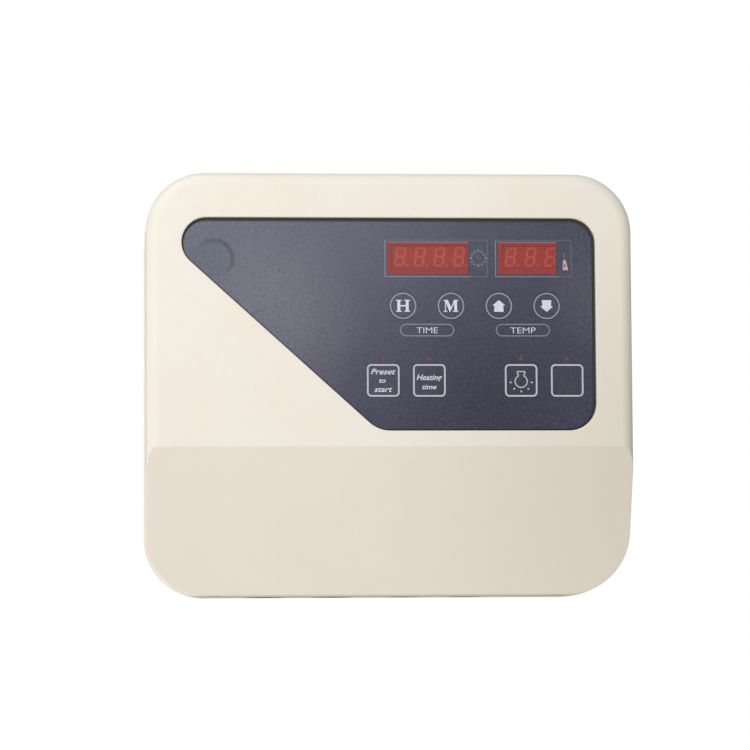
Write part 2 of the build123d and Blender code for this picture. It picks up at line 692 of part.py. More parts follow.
with BuildPart() as transformer_coil:
    with BuildSketch(facing(POWER_BOARD_DEPTH)):
        with Locations(TRANSFORMER_PLACE):
            RectangleRounded(*COIL_SIZE, 1.5)
    extrude(amount=sum(CORE_STACK) + COIL_OVERHANG)
    with BuildSketch(facing(core_depth - 0.2)):
        with Locations(TRANSFORMER_PLACE):
            Rectangle(12.6, CORE_SIZE[1])
            with GridLocations(46.0, 1, 2, 1):
                Rectangle(20.2, CORE_SIZE[1])
    extrude(amount=CORE_STACK[1] + 0.4, mode=Mode.SUBTRACT)
save(transformer_coil.part, "transformer_coil")

FUSE_PLACE = (-72.0, 40.0)
FUSE_R = 2.6
FUSE_DEPTH = POWER_BOARD_DEPTH + 6.5
with BuildPart() as fuse_holder:
    add(block(FUSE_PLACE, (26.0, 9.0, 8.5)))
    with BuildSketch(facing(FUSE_DEPTH - FUSE_R - 0.2)):
        with Locations(FUSE_PLACE):
            Rectangle(21.0, 2 * FUSE_R + 0.4)
    extrude(amount=10, mode=Mode.SUBTRACT)
save(fuse_holder.part, "fuse_holder")

with BuildPart() as fuse:
    with BuildSketch(Plane.YZ.offset(FUSE_PLACE[0] - 10.0)):
        with Locations((-FUSE_DEPTH, FUSE_PLACE[1])):
            Circle(FUSE_R)
    extrude(amount=20.0)
save(fuse.part, "fuse")

with BuildPart() as electrolytic_capacitors:
    with BuildSketch(facing(POWER_BOARD_DEPTH)):
        with Locations((10.0, 40.0), (30.0, 48.0)):
            Circle(5.0)
    extrude(amount=20.0)
    fillet(electrolytic_capacitors.faces().filter_by(Axis.Y).group_by(Axis.Y)[0].edges(), 1.0)
save(electrolytic_capacitors.part, "electrolytic_capacitors")

save(block((-36.0, 41.0), (26.0, 9.0, 16.0)), "film_capacitor")

VARISTOR_PLACE = (-12.0, 42.0)
with BuildPart() as varistor:
    with BuildSketch(Plane.XY.offset(VARISTOR_PLACE[1] - 2.2)):
        with Locations((VARISTOR_PLACE[0], -POWER_BOARD_DEPTH - 10.0)):
            Circle(7.0)
    extrude(amount=4.4)
    fillet(varistor.edges(), 1.4)
    with BuildSketch(facing(POWER_BOARD_DEPTH)):
        with Locations(VARISTOR_PLACE):
            with GridLocations(7.5, 1, 2, 1):
                Circle(0.4)
    extrude(amount=6.0)
save(varistor.part, "varistor")

save(block((62.0, 6.0), (19.0, 4.6, 12.0), 0.6), "bridge_rectifier")

REGULATOR_PLACE = (82.0, -17.0)
with BuildPart() as voltage_regulator:
    with BuildSketch(facing(POWER_BOARD_DEPTH + 4.0)):
        with Locations(REGULATOR_PLACE):
            Rectangle(10.0, 4.5)
    extrude(amount=15.0)
    with BuildSketch(facing(POWER_BOARD_DEPTH)):
        with Locations(REGULATOR_PLACE):
            with GridLocations(2.54, 1, 3, 1):
                Rectangle(0.8, 0.6)
    extrude(amount=4.0)
save(voltage_regulator.part, "voltage_regulator")

FIN_COUNT = 5
with BuildPart() as heat_sink:
    with BuildSketch(facing(POWER_BOARD_DEPTH)):
        with Locations((REGULATOR_PLACE[0], REGULATOR_PLACE[1] + 2.25 + 1.0)):
            Rectangle(24.0, 2.0)
        with Locations((REGULATOR_PLACE[0], REGULATOR_PLACE[1] + 2.25 + 6.0)):
            with GridLocations(5.5, 1, FIN_COUNT, 1):
                Rectangle(1.2, 8.2)
    extrude(amount=22.0)
save(heat_sink.part, "heat_sink")

# ---------------------------------------------------------------- terminal blocks


def terminal_block(place, poles, pitch, height, depth, well_r):
    """Screw terminal block: wells in its front for the screws, wire entries in its underside."""
    bottom = place[1] - height / 2
    with BuildPart() as body:
        add(block(place, (poles * pitch + 2.0, height, depth), 0.5))
        with BuildSketch(facing(POWER_BOARD_DEPTH + depth)):
            with Locations(place):
                with GridLocations(pitch, 1, poles, 1):
                    Circle(well_r)
        extrude(amount=-depth * 0.55, mode=Mode.SUBTRACT)
        with BuildSketch(Plane.XY.offset(bottom)):
            with Locations((place[0], -POWER_BOARD_DEPTH - depth * 0.28)):
                with GridLocations(pitch, 1, poles, 1):
                    Rectangle(pitch * 0.55, depth * 0.3)
        extrude(amount=height * 0.7, mode=Mode.SUBTRACT)
    return body.part


def terminal_screws(place, poles, pitch, depth, well_r):
    """Slotted screws standing in the wells."""
    with BuildPart() as screws:
        with BuildSketch(facing(POWER_BOARD_DEPTH + depth * 0.45)):
            with Locations(place):
                with GridLocations(pitch, 1, poles, 1):
                    Circle(well_r - 0.1)
        extrude(amount=depth * 0.3)
        with BuildSketch(facing(POWER_BOARD_DEPTH + depth * 0.75)):
            with Locations(place):
                with GridLocations(pitch, 1, poles, 1):
                    Rectangle(2 * well_r, 0.8)
        extrude(amount=-1.0, mode=Mode.SUBTRACT)
    return screws.part


MAINS_PLACE = (-36.0, -45.0)
MAINS_SIZE = (20.0, 18.0)
MAINS_WELL_R = 3.4
SENSOR_PLACE = (35.0, -49.0)
SENSOR_SIZE = (10.0, 11.0)
SENSOR_WELL_R = 1.6
for label, place, poles, pitch, size, well_r in (
    ("mains", MAINS_PLACE, MAINS_POLES, MAINS_PITCH, MAINS_SIZE, MAINS_WELL_R),
    ("sensor", SENSOR_PLACE, SENSOR_POLES, SENSOR_PITCH, SENSOR_SIZE, SENSOR_WELL_R),
):
    save(terminal_block(place, poles, pitch, *size, well_r), f"{label}_terminal_block")
    save(terminal_screws(place, poles, pitch, size[1], well_r), f"{label}_terminal_screws")

EARTH_WASHER_DEPTH = BACK_WALL + EARTH_BOSS[1]
with BuildPart() as earth_terminal:
    with BuildSketch(facing(BACK_WALL)):
        with Locations(EARTH_PLACE):
            Circle(EARTH_STUD_R)
    extrude(amount=17.0)
    with BuildSketch(facing(EARTH_WASHER_DEPTH)):
        with Locations(EARTH_PLACE):
            Circle(5.0)
    extrude(amount=1.0)
    with BuildSketch(facing(EARTH_WASHER_DEPTH + 1.0)):
        with Locations(EARTH_PLACE):
            RegularPolygon(radius=4.0, side_count=6)
    extrude(amount=3.2)
save(earth_terminal.part, "earth_terminal")

# ---------------------------------------------------------------- cable clamps and grommets
CLAMP_BAR = (9.0, 3.0)               # bar width along the cable, and thickness
with BuildPart() as cable_clamps:
    with BuildSketch(facing(CLAMP_POST_DEPTH)):
        for name, (x, radius) in CABLE_ENTRIES.items():
            with Locations((x, CLAMP_Z)):
                SlotCenterToCenter(2 * CLAMP_HALF[name], CLAMP_BAR[0])
        with Locations(*clamp_posts):
            Circle(BOARD_HOLE_R, mode=Mode.SUBTRACT)
    extrude(amount=CLAMP_BAR[1])
save(cable_clamps.part, "cable_clamps")
save(
    screw_group(clamp_posts, facing(CLAMP_POST_DEPTH + CLAMP_BAR[1]), 1, 12.0),
    "cable_clamp_screws",
)

GROMMET_WALL = 2.5
with BuildPart() as cable_grommets:
    for x, radius in CABLE_ENTRIES.values():
        for height, outer, thick in (
            (BOTTOM, radius + GROMMET_FLANGE - 0.1, GROMMET_FLANGE_THICK),
            (BOTTOM + GROMMET_FLANGE_THICK, radius, REAR_WALL - GROMMET_FLANGE_THICK),
            (BOTTOM + REAR_WALL, radius + GROMMET_FLANGE - 0.5, GROMMET_FLANGE_THICK),
        ):
            with BuildSketch(Plane.XY.offset(height)):
                with Locations((x, -CABLE_DEPTH)):
                    Circle(outer)
                    Circle(radius - GROMMET_WALL, mode=Mode.SUBTRACT)
            extrude(amount=thick)
save(cable_grommets.part, "cable_grommets")
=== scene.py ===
"""Looks of the wall-mounted heater controller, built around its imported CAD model.

The frame is the model's: metres, origin at the centre of the wall face, +X right, +Z up, and the
front looks along -Y. Printed marks are thin raised ink on the film and on the keys.
"""

import math

import bmesh
import bpy
from mathutils import Matrix, Vector


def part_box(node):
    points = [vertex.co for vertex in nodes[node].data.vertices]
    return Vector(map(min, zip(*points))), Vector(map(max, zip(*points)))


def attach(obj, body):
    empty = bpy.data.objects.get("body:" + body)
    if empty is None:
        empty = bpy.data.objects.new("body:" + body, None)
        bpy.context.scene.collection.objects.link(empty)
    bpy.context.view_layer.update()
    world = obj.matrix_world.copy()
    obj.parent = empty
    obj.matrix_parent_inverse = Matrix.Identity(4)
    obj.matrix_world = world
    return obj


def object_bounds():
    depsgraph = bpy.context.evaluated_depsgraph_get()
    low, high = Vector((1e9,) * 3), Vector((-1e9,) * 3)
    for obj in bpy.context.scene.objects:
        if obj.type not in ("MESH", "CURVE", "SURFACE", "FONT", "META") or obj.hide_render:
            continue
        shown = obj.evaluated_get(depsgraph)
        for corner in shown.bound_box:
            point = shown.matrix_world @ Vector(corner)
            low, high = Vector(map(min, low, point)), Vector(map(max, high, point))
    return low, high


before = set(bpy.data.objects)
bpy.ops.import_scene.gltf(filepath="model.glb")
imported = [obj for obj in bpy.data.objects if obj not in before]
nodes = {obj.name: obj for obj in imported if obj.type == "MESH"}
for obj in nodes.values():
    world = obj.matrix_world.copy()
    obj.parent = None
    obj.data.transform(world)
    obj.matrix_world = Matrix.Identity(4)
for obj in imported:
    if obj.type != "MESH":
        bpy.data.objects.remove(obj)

MM = 0.001
cad_box = [list(corner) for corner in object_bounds()]

# ---------------------------------------------------------------- finishes


def srgb(red, green, blue):
    """Linear colour of an sRGB colour whose channels run from 0 to 255."""
    channels = [value / 255 for value in (red, green, blue)]
    linear = [c / 12.92 if c <= 0.04045 else ((c + 0.055) / 1.055) ** 2.4 for c in channels]
    return (*linear, 1.0)


class Finish:
    """A Principled material with procedural detail laid out in the piece's own coordinates."""

    def __init__(self, name, colour, rough, metallic=0.0, specular=0.5, coat=0.0):
        self.material = bpy.data.materials.new(name)
        self.material.use_nodes = True
        self.tree = self.material.node_tree
        self.shader = self.tree.nodes["Principled BSDF"]
        self.set("Base Color", colour)
        self.set("Roughness", rough)
        self.set("Metallic", metallic)
        self.set("Specular IOR Level", specular)
        self.set("Coat Weight", coat)
        self.set("Coat Roughness", 0.1)
        self.coordinates = self.add("ShaderNodeTexCoord").outputs["Object"]

    def add(self, kind, **settings):
        """A new node with its settings."""
        node = self.tree.nodes.new(kind)
        for key, value in settings.items():
            setattr(node, key, value)
        return node

    def link(self, source, target):
        """Links an output to an input."""
        self.tree.links.new(source, target)

    def set(self, socket, value):
        """Sets a value on one of the shader's sockets."""
        self.shader.inputs[socket].default_value = value

    def feed(self, socket):
        """What is linked to one of the shader's sockets, if anything."""
        links = self.shader.inputs[socket].links
        return links[0].from_socket if links else None

    def stretched(self, scale):
        """The piece's coordinates, stretched along its axes."""
        mapping = self.add("ShaderNodeMapping")
        mapping.inputs["Scale"].default_value = scale
        self.link(self.coordinates, mapping.inputs["Vector"])
        return mapping.outputs["Vector"]

    def noise(self, size, detail, stretch):
        """Noise whose features are about one size, in metres."""
        texture = self.add("ShaderNodeTexNoise")
        texture.inputs["Scale"].default_value = 1 / size
        texture.inputs["Detail"].default_value = detail
        self.link(self.stretched(stretch), texture.inputs["Vector"])
        return texture.outputs["Fac"]

    def ramp(self, factor, low, high, start=0.0, end=1.0):
        """Factor from start to end, spread from low to high."""
        spread = self.add("ShaderNodeMapRange")
        for socket, value in (("From Min", start), ("From Max", end), ("To Min", low), ("To Max", high)):
            spread.inputs[socket].default_value = value
        self.link(factor, spread.inputs["Value"])
        return spread.outputs["Result"]

    def tint(self, factor, colour, amount=1.0):
        """The colour mixed over what is already there by a factor."""
        mix = self.add("ShaderNodeMix", data_type="RGBA")
        below = self.feed("Base Color")
        if below:
            self.link(below, mix.inputs["A"])
        else:
            mix.inputs["A"].default_value = self.shader.inputs["Base Color"].default_value
        mix.inputs["B"].default_value = colour
        self.link(self.ramp(factor, 0.0, amount), mix.inputs["Factor"])
        self.link(mix.outputs["Result"], self.shader.inputs["Base Color"])
        return self

    def mottle(self, size, colour, amount, detail=3.0, stretch=(1, 1, 1), start=0.35, end=0.65):
        """Soft patches of another colour."""
        patches = self.ramp(self.noise(size, detail, stretch), 0.0, 1.0, start, end)
        return self.tint(patches, colour, amount)

    def scuff(self, size, low, high, stretch=(1, 1, 1)):
        """Roughness that varies from place to place."""
        patches = self.noise(size, 4.0, stretch)
        self.link(self.ramp(patches, low, high, 0.3, 0.7), self.shader.inputs["Roughness"])
        return self

    def bump(self, height, distance):
        """Relief from a height of 0 to 1 over a distance in metres, on top of what is there."""
        relief = self.add("ShaderNodeBump")
        relief.inputs["Distance"].default_value = distance
        relief.inputs["Strength"].default_value = 1.0
        below = self.feed("Normal")
        if below:
            self.link(below, relief.inputs["Normal"])
        self.link(height, relief.inputs["Height"])
        self.link(relief.outputs["Normal"], self.shader.inputs["Normal"])
        return self

    def grain(self, size, distance, stretch=(1, 1, 1)):
        """Fine moulded or brushed relief."""
        return self.bump(self.noise(size, 2.0, stretch), distance)

    def offset_from(self, centre):
        """Each place as a vector from a point."""
        offset = self.add("ShaderNodeVectorMath", operation="SUBTRACT")
        offset.inputs[1].default_value = centre
        self.link(self.coordinates, offset.inputs[0])
        return offset.outputs["Vector"]

    def distance_from(self, centre):
        """Each place's distance from a point."""
        distance = self.add("ShaderNodeVectorMath", operation="LENGTH")
        self.link(self.offset_from(centre), distance.inputs[0])
        return distance.outputs["Value"]

    def near(self, centre, inner, outer):
        """Factor of 1 inside a distance from a point, falling to 0 at a larger distance."""
        return self.ramp(self.distance_from(centre), 1.0, 0.0, inner, outer)

    def stripes(self, pitch, direction, colour, share, distance):
        """Straight stripes of a colour across one axis, raised by a distance.

        The share is the level of the wave at which a stripe starts.
        """
        wave = self.add("ShaderNodeTexWave", wave_type="BANDS", bands_direction=direction)
        wave.inputs["Scale"].default_value = math.tau / (20 * pitch)
        self.link(self.coordinates, wave.inputs["Vector"])
        lines = self.ramp(wave.outputs["Fac"], 0.0, 1.0, share - 0.1, share + 0.1)
        self.tint(lines, colour)
        return self.bump(lines, distance)


# painted shade: the case is darker and yellower towards its right side, away from the light
RIGHT_SHADE_PLACE = (0.15, -0.05, -0.03)  # off the right side, at the height of the crease
RIGHT_SHADE_CORE = 0.03                   # the painted shade is at full strength within this distance
RIGHT_SHADE_REACH = 0.16                  # and not at all beyond this one
UNDERSIDE_Z = cad_box[0][2]
UNDERSIDE_SHADE_FADE = 0.0012                # height over which the painted shade underneath fades out


def case_finish():
    """Cream ABS with a fine moulded texture, a little uneven in tone, with painted shade that makes it darker
    and yellower towards the right side and darker underneath.
    """
    finish = Finish("CasePlastic", srgb(238, 232, 223), 0.42, specular=0.4)
    finish.mottle(0.045, srgb(238, 228, 217), 0.6, detail=2.0)
    finish.mottle(0.0011, srgb(234, 225, 216), 0.5, detail=4.0, start=0.45, end=0.75)
    # painted shade towards the right side
    finish.tint(finish.near(RIGHT_SHADE_PLACE, RIGHT_SHADE_CORE, RIGHT_SHADE_REACH), srgb(221, 215, 201), 0.9)
    # painted shade: the underside, which faces away from the lights, is darkened
    split = finish.add("ShaderNodeSeparateXYZ")
    finish.link(finish.coordinates, split.inputs[0])
    underneath = finish.ramp(split.outputs["Z"], 1.0, 0.0, UNDERSIDE_Z, UNDERSIDE_Z + UNDERSIDE_SHADE_FADE)
    finish.tint(underneath, srgb(180, 175, 162), 0.9)
    finish.scuff(0.004, 0.38, 0.5)
    return finish.grain(0.0007, 0.00003)


def plate_finish():
    """Black satin plate behind the film, tinted warm brown as painted shade of the cream case edge beside it.
    """
    # the warm brown is painted shade of the cream case edge around the gap
    finish = Finish("DarkPlate", srgb(37, 28, 26), 0.5)
    finish.mottle(0.002, srgb(52, 41, 38), 0.7)
    return finish.grain(0.0005, 0.00002)


FILM_SHADE_PLACE = (0.047, -0.073, -0.014)   # centre of the painted shade on the film, just below the square keys
FILM_SHADE_REACH = 0.08
FILM_SHEEN_PLACES = (                        # centre, reach and strength of the painted sheen on the film:
    ((-0.062, -0.073, 0.03), 0.05, 1.0),   # on the slanting edge
    ((0.118, -0.073, 0.045), 0.04, 0.5),   # off the right edge
)


def film_finish(name, rough):
    """Grey-blue printed polyester with a fine velvet grain, with painted shade below the square keys and
    painted sheen along the slanting edge and the right edge.
    """
    finish = Finish(name, srgb(65, 65, 84), rough)
    finish.mottle(0.016, srgb(71, 68, 88), 0.7)
    # painted shade below the square keys, then painted sheen at the slanting and right edges
    finish.tint(finish.near(FILM_SHADE_PLACE, 0.1 * FILM_SHADE_REACH, FILM_SHADE_REACH), srgb(35, 38, 54), 0.8)
    for centre, reach, amount in FILM_SHEEN_PLACES:
        finish.tint(finish.near(centre, 0.3 * reach, reach), srgb(94, 93, 106), amount)
    finish.mottle(0.0012, srgb(78, 80, 102), 0.5, detail=5.0, start=0.45, end=0.72)
    finish.mottle(0.0016, srgb(26, 29, 46), 0.6, detail=5.0, start=0.48, end=0.78)
    finish.set("Specular Tint", (0.86, 0.9, 1.0, 1.0))
    finish.scuff(0.0015, rough - 0.04, rough + 0.06)
    return finish.grain(0.0006, 0.00002)


MARK_SHADED_SIDE = (0.62, 0.0, 0.78)     # direction in which the round mark's painted shade is strongest


def add_round_mark(finish, centre, radius, width):
    """A soft dark ring of painted shade around a faintly tinted disc in the film, fading out at its lower
    left.
    """
    across = finish.add("ShaderNodeMath", operation="SUBTRACT")
    finish.link(finish.distance_from(centre), across.inputs[0])
    across.inputs[1].default_value = radius
    away = finish.add("ShaderNodeMath", operation="ABSOLUTE")
    finish.link(across.outputs["Value"], away.inputs[0])
    band = finish.ramp(away.outputs["Value"], 1.0, 0.0, 0.2 * width, width)
    # painted shade along the shallow ring in the film, on its upper right side only
    upward = finish.add("ShaderNodeVectorMath", operation="DOT_PRODUCT")
    finish.link(finish.offset_from(centre), upward.inputs[0])
    upward.inputs[1].default_value = MARK_SHADED_SIDE
    shaded_side = finish.ramp(upward.outputs["Value"], 0.0, 1.0, -0.4 * radius, 0.7 * radius)
    shade = finish.add("ShaderNodeMath", operation="MULTIPLY")
    finish.link(band, shade.inputs[0])
    finish.link(shaded_side, shade.inputs[1])
    finish.tint(shade.outputs["Value"], srgb(4, 24, 42), 0.95)
    finish.tint(finish.near(centre, 0.7 * radius, 1.05 * radius), srgb(46, 64, 82), 0.35)


def print_finish(name, colour, worn):
    """Screen-printed ink, slightly uneven in cover."""
    finish = Finish(name, colour, 0.45)
    finish.mottle(0.0008, worn, 0.6, detail=4.0, start=0.4, end=0.7)
    return finish.grain(0.0003, 0.00001)


def window_finish():
    """Red transparent filter."""
    finish = Finish("RedFilter", srgb(178, 38, 34), 0.3)
    finish.mottle(0.004, srgb(160, 30, 36), 0.5)
    finish.mottle(0.0012, srgb(196, 58, 50), 0.35, detail=4.0)
    finish.set("Alpha", 0.4)
    return finish.grain(0.0006, 0.00001)


def plain_plastic(name, colour, other, rough=0.45, size=0.0006):
    """Moulded plastic of the parts inside."""
    finish = Finish(name, colour, rough)
    finish.mottle(0.006, other, 0.6)
    finish.scuff(0.003, rough - 0.06, rough + 0.1)
    return finish.grain(size, 0.00002)


def metal(name, colour, other, rough=0.3, stretch=(1, 1, 8)):
    """Brushed or plated metal with faint streaks."""
    finish = Finish(name, colour, rough, metallic=1.0)
    finish.mottle(0.002, other, 0.6, stretch=stretch)
    finish.scuff(0.001, rough - 0.08, rough + 0.15, stretch=stretch)
    return finish.grain(0.0004, 0.00001, stretch=stretch)


def board_finish():
    """Green solder mask over copper tracks."""
    finish = Finish("SolderMask", srgb(22, 92, 52), 0.32, coat=0.3)
    tracks = finish.add("ShaderNodeTexBrick", offset=0.37, squash=1.6, squash_frequency=3)
    tracks.inputs["Scale"].default_value = 1.0
    tracks.inputs["Mortar Size"].default_value = 0.0004
    tracks.inputs["Brick Width"].default_value = 0.011
    tracks.inputs["Row Height"].default_value = 0.0031
    turn = finish.add("ShaderNodeMapping")
    turn.inputs["Rotation"].default_value = (math.pi / 2, 0.0, 0.0)
    finish.link(finish.coordinates, turn.inputs["Vector"])
    finish.link(turn.outputs["Vector"], tracks.inputs["Vector"])
    finish.tint(tracks.outputs["Fac"], srgb(34, 122, 70))
    finish.mottle(0.01, srgb(18, 80, 46), 0.5)
    finish.bump(tracks.outputs["Fac"], 0.00004)
    return finish


def core_finish():
    """Laminated steel core: thin varnished sheets."""
    finish = metal("CoreSteel", srgb(96, 96, 100), srgb(70, 68, 70), 0.42, (1, 1, 1))
    return finish.stripes(0.0007, "Y", srgb(48, 47, 50), 0.72, 0.00005)


def coil_finish():
    """Enamelled copper under yellow tape."""
    finish = Finish("CoilTape", srgb(196, 150, 42), 0.35, coat=0.4)
    finish.mottle(0.004, srgb(176, 126, 34), 0.7)
    return finish.stripes(0.0011, "Z", srgb(168, 120, 30), 0.8, 0.00004)


def ribbon_finish():
    """Grey flat cable of parallel wires."""
    finish = Finish("RibbonWires", srgb(142, 144, 150), 0.4)
    finish.mottle(0.004, srgb(128, 130, 137), 0.6)
    return finish.stripes(0.00127, "X", srgb(104, 106, 112), 0.75, 0.0002)


MARK_R = 9.3 * MM
MARK_WIDTH = 1.6 * MM
MARK_INSET = (15.6 * MM, 19.2 * MM)    # its centre, from the film's left and top edges
film_low, film_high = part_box("overlay_film")
mark_centre = (film_low.x + MARK_INSET[0], film_low.y, film_high.z - MARK_INSET[1])

case_paint = case_finish()
plate_paint = plate_finish()
film_paint = film_finish("FilmInk", 0.2)
add_round_mark(film_paint, mark_centre, MARK_R, MARK_WIDTH)
key_paint = film_finish("KeyFilm", 0.21)
red_paint = window_finish()
ink_paint = print_finish("PrintInk", srgb(218, 219, 236), srgb(186, 188, 206))
key_line_paint = print_finish("KeyLineInk", srgb(192, 193, 210), srgb(160, 162, 180))
ring_paint = print_finish("RingInk", srgb(154, 155, 174), srgb(124, 126, 144))
line_paint = print_finish("FineLineInk", srgb(136, 137, 154), srgb(106, 108, 124))
grey_paint = print_finish("GreyInk", srgb(96, 96, 108), srgb(78, 78, 90))
faint_paint = print_finish("FaintInk", srgb(66, 51, 62), srgb(58, 48, 60))
border_paint = print_finish("WindowBorderInk", srgb(140, 38, 40), srgb(130, 34, 36))
pink_paint = print_finish("PinkInk", srgb(200, 166, 178), srgb(178, 138, 152))
# painted highlight along the top edge of each window, drawn as pale ink
edge_highlight_paint = print_finish("EdgeHighlight", srgb(160, 128, 140), srgb(140, 106, 120))
indicator_paint = print_finish("IndicatorFilter", srgb(112, 52, 62), srgb(92, 52, 64))
display_paint = plain_plastic("DisplayFace", srgb(190, 112, 90), srgb(182, 104, 84))
segment_paint = plain_plastic("UnlitSegment", srgb(255, 190, 172), srgb(250, 172, 156), 0.35)
led_paint = plain_plastic("LedResin", srgb(196, 44, 40), srgb(170, 30, 30), 0.2)
black_paint = plain_plastic("BlackPlastic", srgb(34, 34, 36), srgb(44, 44, 46))
relay_paint = plain_plastic("RelayPlastic", srgb(30, 62, 118), srgb(24, 52, 102), 0.35)
board_paint = board_finish()
steel_paint = metal("ZincSteel", srgb(190, 192, 196), srgb(160, 162, 168))
brass_paint = metal("Brass", srgb(206, 172, 98), srgb(178, 140, 70))
aluminium_paint = metal("BlackAluminium", srgb(62, 62, 66), srgb(44, 44, 48), 0.38)
core_paint = core_finish()
coil_paint = coil_finish()
capacitor_paint = plain_plastic("CapacitorSleeve", srgb(28, 34, 60), srgb(22, 26, 48), 0.28)
film_capacitor_paint = plain_plastic("FilmCapacitor", srgb(196, 176, 60), srgb(176, 154, 46), 0.3)
varistor_paint = plain_plastic("VaristorResin", srgb(40, 86, 150), srgb(30, 70, 126), 0.3, 0.0015)
fuse_paint = plain_plastic("FuseGlass", srgb(206, 212, 210), srgb(180, 188, 188), 0.08)
terminal_paint = plain_plastic("TerminalPlastic", srgb(44, 128, 70), srgb(36, 108, 58), 0.4)
clamp_paint = plain_plastic("ClampPlastic", srgb(222, 220, 212), srgb(206, 203, 194))
rubber_paint = plain_plastic("GrommetRubber", srgb(30, 30, 31), srgb(42, 42, 43), 0.7, 0.0003)
ribbon_paint = ribbon_finish()

SQUARE_KEYS = ("preset", "heating_time", "light", "power")
KEYS = ("hours", "minutes", "temp_up", "temp_down") + SQUARE_KEYS
PAINTED = (
    (case_paint, "front_cover rear_housing"),
    (plate_paint, "panel_plate"),
    (film_paint, "overlay_film"),
    (key_paint, " ".join(f"key_{key}" for key in KEYS)),
    (red_paint, "time_window temp_window"),
    (indicator_paint, "indicator_windows"),
    (display_paint, "time_display temp_display"),
    (led_paint, "indicator_leds"),
    (black_paint, " ".join(f"plunger_{key}" for key in KEYS)),
    (black_paint, "switch_bodies microcontroller buzzer display_header power_header bridge_rectifier"),
    (black_paint, "voltage_regulator fuse_holder"),
    (relay_paint, "relay_1 relay_2 relay_3"),
    (board_paint, "display_board power_board"),
    (steel_paint, "cover_screws panel_screws display_board_screws power_board_screws cable_clamp_screws"),
    (steel_paint, "mains_terminal_screws sensor_terminal_screws"),
    (core_paint, "transformer_core"),
    (coil_paint, "transformer_coil"),
    (capacitor_paint, "electrolytic_capacitors"),
    (film_capacitor_paint, "film_capacitor"),
    (varistor_paint, "varistor"),
    (fuse_paint, "fuse"),
    (aluminium_paint, "heat_sink"),
    (terminal_paint, "mains_terminal_block sensor_terminal_block"),
    (brass_paint, "earth_terminal"),
    (clamp_paint, "cable_clamps"),
    (rubber_paint, "cable_grommets"),
    (ribbon_paint, "ribbon_cable"),
)
for paint, names in PAINTED:
    for name in names.split():
        for material_slot in nodes[name].material_slots:
            material_slot.material = paint.material

# ---------------------------------------------------------------- flat outlines, in millimetres
CORNER_STEPS = 8


def circle(radius, centre=(0.0, 0.0), count=64):
    """Points of a circle."""
    angles = [math.tau * step / count for step in range(count)]
    return [(centre[0] + radius * math.cos(a), centre[1] + radius * math.sin(a)) for a in angles]


def ring(radius, line):
    """A circle drawn with a line of some width."""
    return [circle(radius + line / 2), circle(radius - line / 2)]


def rounded_box(width, height, radius, centre):
    """Points of a rectangle with round corners."""
    points = []
    for quarter, (sx, sz) in enumerate(((1, 1), (-1, 1), (-1, -1), (1, -1))):
        corner_x = centre[0] + sx * (width / 2 - radius)
        corner_z = centre[1] + sz * (height / 2 - radius)
        for step in range(CORNER_STEPS + 1):
            angle = math.pi / 2 * (quarter + step / CORNER_STEPS)
            points.append((corner_x + radius * math.cos(angle), corner_z + radius * math.sin(angle)))
    return points


def box_line(width, height, radius, line, centre):
    """A rounded rectangle drawn with a line of some width, centred on its outline."""
    return [
        rounded_box(width + line, height + line, radius + line / 2, centre),
        rounded_box(width - line, height - line, max(radius - line / 2, 0.1), centre),
    ]


def bar(left, bottom, right, top):
    """A plain rectangle from its sides."""
    return [(left, bottom), (right, bottom), (right, top), (left, top)]


def stroke(points, line, closed=False):
    """A line of some width through points, with mitred corners."""
    count = len(points)
    sides = ([], [])
    for index, (x, z) in enumerate(points):
        before = points[(index - 1) % count] if closed or index else None
        after = points[(index + 1) % count] if closed or index < count - 1 else None
        directions = []
        if before:
            directions.append(Vector((x - before[0], z - before[1])).normalized())
        if after:
            directions.append(Vector((after[0] - x, after[1] - z)).normalized())
        along = (directions[0] + directions[-1]).normalized()
        reach = line / 2 / max(along.dot(directions[0]), 0.4)
        sides[0].append((x - along.y * reach, z + along.x * reach))
        sides[1].append((x + along.y * reach, z - along.x * reach))
    if closed:
        return [sides[0], sides[1]]
    return [sides[0] + sides[1][::-1]]


def moved(loops, centre):
    """Outlines moved so that their origin is at a centre."""
    return [[(x + centre[0], z + centre[1]) for x, z in loop] for loop in loops]


# ---------------------------------------------------------------- printed pieces
INK_THICK = 0.03
CAPITAL_SHARE = 0.73         # height of a capital letter in a font of size 1
# turns a drawing that lies flat so that it faces the room
FACING = Matrix(((1, 0, 0, 0), (0, 0, -1, 0), (0, 1, 0, 0), (0, 0, 0, 1)))


def box_mm(name):
    """Lowest and highest corner of a CAD node in millimetres."""
    low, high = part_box(name)
    return low / MM, high / MM


def centre_of(name):
    """Centre of a CAD node as it is faced, in millimetres."""
    low, high = box_mm(name)
    return ((low.x + high.x) / 2, (low.z + high.z) / 2)


def front_of(name):
    """The y of a CAD node's front in millimetres."""
    return box_mm(name)[0].y


def solid(name, outlines, thick):
    """A mesh of closed outlines, filled around their holes and given a thickness."""
    curve = bpy.data.curves.new(name, "CURVE")
    curve.dimensions = "2D"
    curve.fill_mode = "BOTH"
    curve.extrude = thick / 2
    for outline in outlines:
        spline = curve.splines.new("POLY")
        spline.points.add(len(outline) - 1)
        for point, (x, z) in zip(spline.points, outline):
            point.co = (x, z, 0.0, 1.0)
        spline.use_cyclic_u = True
    return mesh_of(name, curve)


def mesh_of(name, curve):
    """The closed mesh that a curve or a text makes."""
    holder = bpy.data.objects.new(name, curve)
    bpy.context.scene.collection.objects.link(holder)
    bpy.context.view_layer.update()
    mesh = bpy.data.meshes.new_from_object(holder)
    bpy.data.objects.remove(holder)
    shape = bmesh.new()
    shape.from_mesh(mesh)
    bmesh.ops.remove_doubles(shape, verts=shape.verts, dist=1e-4)
    bmesh.ops.recalc_face_normals(shape, faces=shape.faces)
    shape.to_mesh(mesh)
    shape.free()
    mesh.name = name
    return mesh


